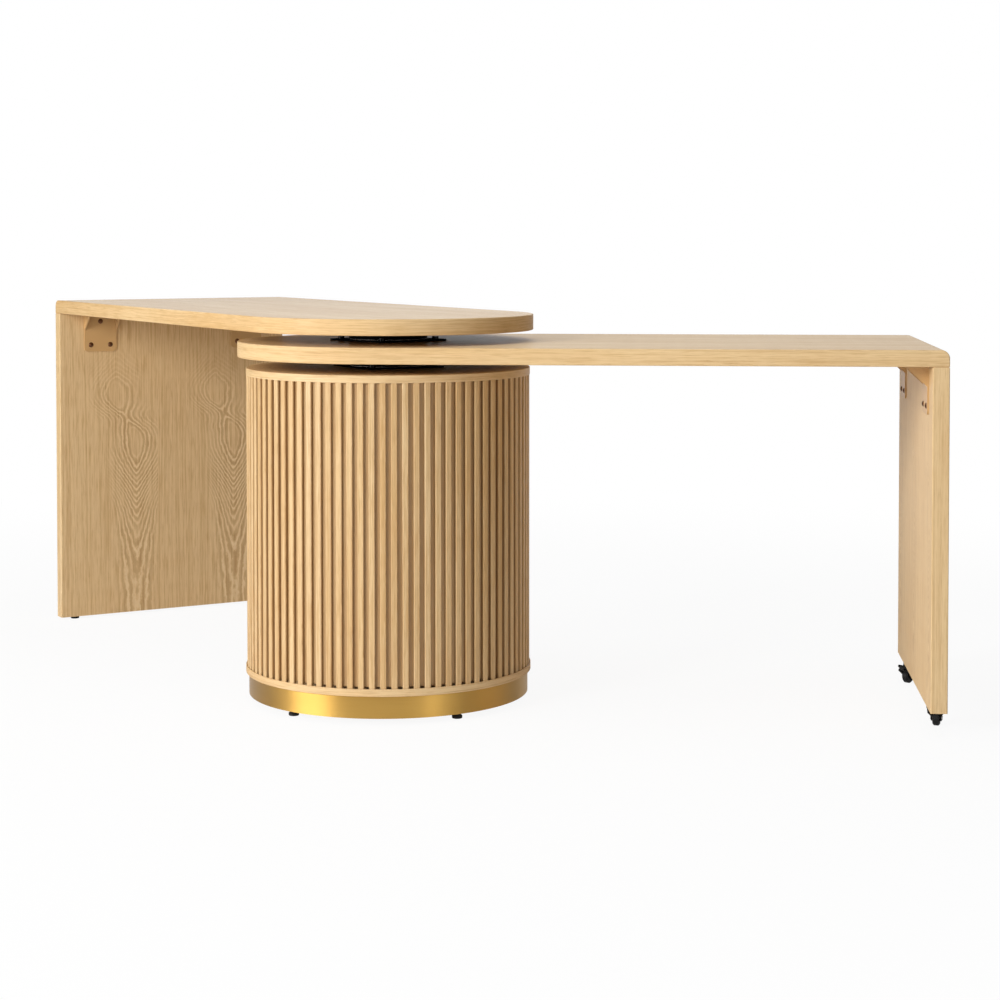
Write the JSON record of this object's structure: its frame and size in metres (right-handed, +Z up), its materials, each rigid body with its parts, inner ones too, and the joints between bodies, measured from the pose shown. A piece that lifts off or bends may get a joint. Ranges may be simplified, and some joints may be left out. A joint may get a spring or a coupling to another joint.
{
  "type": "tambour desk",
  "caption": "Rotating L-shaped desk: round-ended oak leaves stacked on swivels over a slatted drum cupboard with tambour door and brass plinth; end panels on casters or feet.",
  "frame": {"origin": "on the floor, on the vertical axis of the drum and of both swivels", "axes": "+X along the lower leaf from the drum to its casters, +Z up, +Y away from the pictured side"},
  "size_m": [1.9768, 1.4274, 0.762],
  "materials": {
    "oak": "open-grain oak veneer, satin",
    "cupboard_oak": "oak veneer, matt",
    "backing": "bending plywood with oak veneer",
    "brass": "satin brass, brushed round",
    "black_steel": "black powder coat",
    "zinc": "bright zinc plate",
    "nylon": "natural nylon",
    "bracket_paint": "tan powder coat",
    "bronze_screws": "dark bronze",
    "foot_plastic": "moulded black",
    "wheel_rubber": "moulded black"
  },
  "bodies": {
    "drum": {"plinth_ring": "backing", "brass_band": "brass", "drum_base": "oak", "drum_top": "oak", "wall_panel_left": "backing", "wall_panel_front": "backing", "wall_panel_right": "backing", "wall_slats": "oak", "door_jambs": "oak", "shelf_pins": "zinc", "drum_foot_inserts": "zinc", "lower_swivel_base_flange": "black_steel", "lower_swivel_race_ring": "zinc", "lower_swivel_slide_ring": "nylon", "lower_swivel_base_bolts": "black_steel", "cupboard_side_left": "cupboard_oak", "cupboard_side_right": "cupboard_oak", "cupboard_back": "cupboard_oak", "cupboard_shelf": "cupboard_oak"},
    "lower_desk": {"lower_top": "oak", "lower_end_panel": "oak", "lower_bracket_left": "bracket_paint", "lower_bracket_right": "bracket_paint", "lower_bracket_screws": "bronze_screws", "left_caster_plate": "black_steel", "right_caster_plate": "black_steel", "caster_screws": "bronze_screws", "lower_swivel_turret": "black_steel", "lower_swivel_pivot_bolt": "zinc", "lower_swivel_turret_bolts": "black_steel", "upper_swivel_base_flange": "black_steel", "upper_swivel_race_ring": "zinc", "upper_swivel_slide_ring": "nylon", "upper_swivel_base_bolts": "black_steel"},
    "upper_desk": {"upper_top": "oak", "upper_end_panel": "oak", "upper_bracket_left": "bracket_paint", "upper_bracket_right": "bracket_paint", "upper_bracket_screws": "bronze_screws", "upper_foot_inserts": "zinc", "upper_swivel_turret": "black_steel", "upper_swivel_pivot_bolt": "zinc", "upper_swivel_turret_bolts": "black_steel"},
    "tambour_door": {"door_backing": "backing", "door_slats": "oak", "door_pull": "oak"},
    "left_caster": {"left_caster_fork": "black_steel", "left_caster_axle": "zinc"},
    "left_wheel": {"left_caster_wheel": "wheel_rubber"},
    "right_caster": {"right_caster_fork": "black_steel", "right_caster_axle": "zinc"},
    "right_wheel": {"right_caster_wheel": "wheel_rubber"},
    "drum_foot_front_left": {"drum_foot_front_left": "foot_plastic"},
    "drum_foot_front_right": {"drum_foot_front_right": "foot_plastic"},
    "drum_foot_back_right": {"drum_foot_back_right": "foot_plastic"},
    "drum_foot_back_left": {"drum_foot_back_left": "foot_plastic"},
    "upper_foot_left": {"upper_foot_left": "foot_plastic"},
    "upper_foot_right": {"upper_foot_right": "foot_plastic"}
  },
  "joints": [
    {"name": "lower_swivel", "type": "hinge", "parent": "drum", "child": "lower_desk", "pos_m": [0, 0, 0.668], "axis": [0, 0, 1], "continuous": true},
    {"name": "upper_swivel", "type": "hinge", "parent": "lower_desk", "child": "upper_desk", "pos_m": [0, 0, 0.72], "axis": [0, 0, 1], "continuous": true},
    {"name": "door_slide", "type": "hinge", "parent": "drum", "child": "tambour_door", "pos_m": [0, 0, 0.35], "axis": [0, 0, 1], "range_deg": [0, 82.41]},
    {"name": "left_caster_swivel", "type": "hinge", "parent": "lower_desk", "child": "left_caster", "pos_m": [1.0555, 0.208, 0.041], "axis": [0, 0, 1], "continuous": true},
    {"name": "left_wheel_spin", "type": "hinge", "parent": "left_caster", "child": "left_wheel", "pos_m": [1.04688, 0.19697, 0.015], "axis": [0.788, -0.6157, 0], "continuous": true},
    {"name": "right_caster_swivel", "type": "hinge", "parent": "lower_desk", "child": "right_caster", "pos_m": [1.0555, -0.208, 0.041], "axis": [0, 0, 1], "continuous": true},
    {"name": "right_wheel_spin", "type": "hinge", "parent": "right_caster", "child": "right_wheel", "pos_m": [1.05889, -0.19442, 0.015], "axis": [-0.9703, 0.2419, 0], "continuous": true},
    {"name": "drum_foot_front_left_screw", "type": "slide", "parent": "drum", "child": "drum_foot_front_left", "axis": [0, 0, -1], "range_m": [0, 0.01]},
    {"name": "drum_foot_front_right_screw", "type": "slide", "parent": "drum", "child": "drum_foot_front_right", "axis": [0, 0, -1], "range_m": [0, 0.01]},
    {"name": "drum_foot_back_right_screw", "type": "slide", "parent": "drum", "child": "drum_foot_back_right", "axis": [0, 0, -1], "range_m": [0, 0.01]},
    {"name": "drum_foot_back_left_screw", "type": "slide", "parent": "drum", "child": "drum_foot_back_left", "axis": [0, 0, -1], "range_m": [0, 0.01]},
    {"name": "upper_foot_left_screw", "type": "slide", "parent": "upper_desk", "child": "upper_foot_left", "axis": [0, 0, -1], "range_m": [0, 0.01]},
    {"name": "upper_foot_right_screw", "type": "slide", "parent": "upper_desk", "child": "upper_foot_right", "axis": [0, 0, -1], "range_m": [0, 0.01]}
  ]
}
